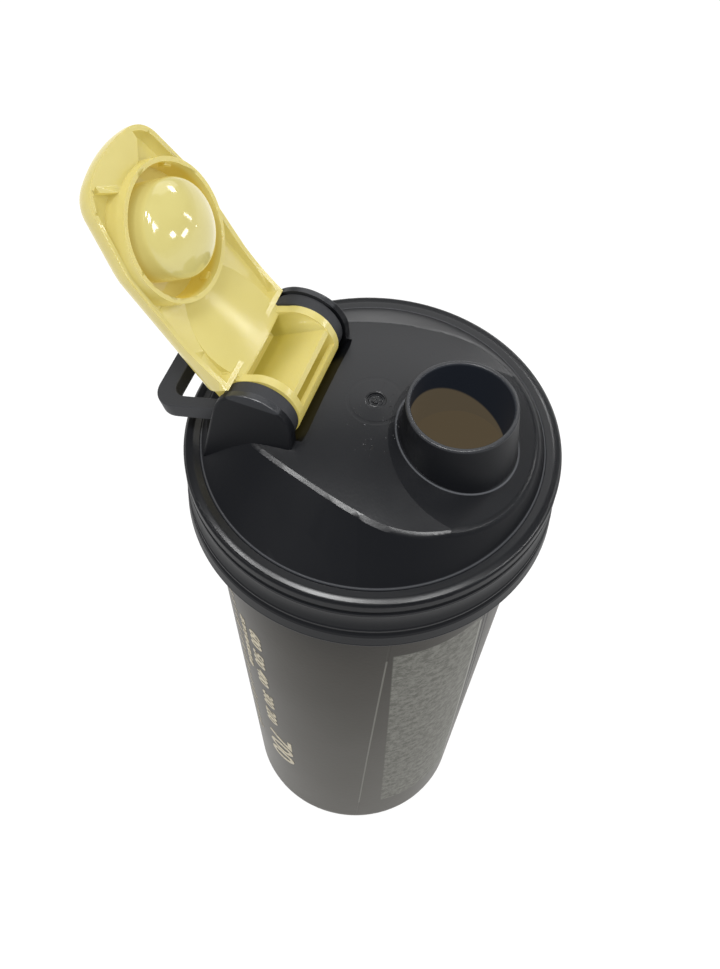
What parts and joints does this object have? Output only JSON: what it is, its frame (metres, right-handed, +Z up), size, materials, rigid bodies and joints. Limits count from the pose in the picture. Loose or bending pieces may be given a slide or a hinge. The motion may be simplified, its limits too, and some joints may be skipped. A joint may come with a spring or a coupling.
{
  "type": "protein shaker bottle",
  "caption": "Tapered drinking cup with a threaded skirted lid, an open pouring spout, a hinged flip cap with a spout plug and a hinged carry loop.",
  "frame": {"origin": "centre of the cup's base plane, on the bottle axis", "axes": "+Z up along the bottle axis, -Y towards the spout, +Y towards the hinge, hinge axis along X"},
  "size_m": [0.0982, 0.1191, 0.2637],
  "materials": {
    "cup_plastic": "smoke grey, slightly translucent, satin",
    "lid_plastic": "black, satin",
    "cap_plastic": "pale yellow, semi gloss",
    "plug_plastic": "paler yellow, gloss",
    "loop_plastic": "dark grey, matte",
    "seal_silicone": "translucent white silicone",
    "steel_wire": "polished stainless wire"
  },
  "bodies": {
    "cup": {"cup": "cup_plastic"},
    "seal": {"seal_ring": "seal_silicone"},
    "lid": {"lid": "lid_plastic"},
    "cap": {"flip_cap": "cap_plastic", "spout_plug": "plug_plastic"},
    "loop": {"carry_loop": "loop_plastic"},
    "ball": {"mixing_ball": "steel_wire"}
  },
  "joints": [
    {"name": "lid_lift", "type": "slide", "parent": "cup", "child": "seal", "axis": [0, 0, 1], "range_m": [0, 0.01001]},
    {"name": "lid_turn", "type": "hinge", "parent": "seal", "child": "lid", "pos_m": [0, 0, 0.185], "axis": [0, 0, 1], "range_deg": [0, 720]},
    {"name": "cap_hinge", "type": "hinge", "parent": "lid", "child": "cap", "pos_m": [0, 0.0252, 0.2044], "axis": [-1, 0, 0], "range_deg": [-121.7, 8]},
    {"name": "loop_hinge", "type": "hinge", "parent": "lid", "child": "loop", "pos_m": [0, 0.0252, 0.2044], "axis": [1, 0, 0], "range_deg": [-12, 12]},
    {"name": "ball_slide", "type": "slide", "parent": "cup", "child": "ball", "axis": [0, 0, 1], "range_m": [0, 0.12]}
  ],
  "couplings": [
    {"joint": "lid_lift", "follows": "lid_turn", "m_per_rad": 0.00079577}
  ]
}
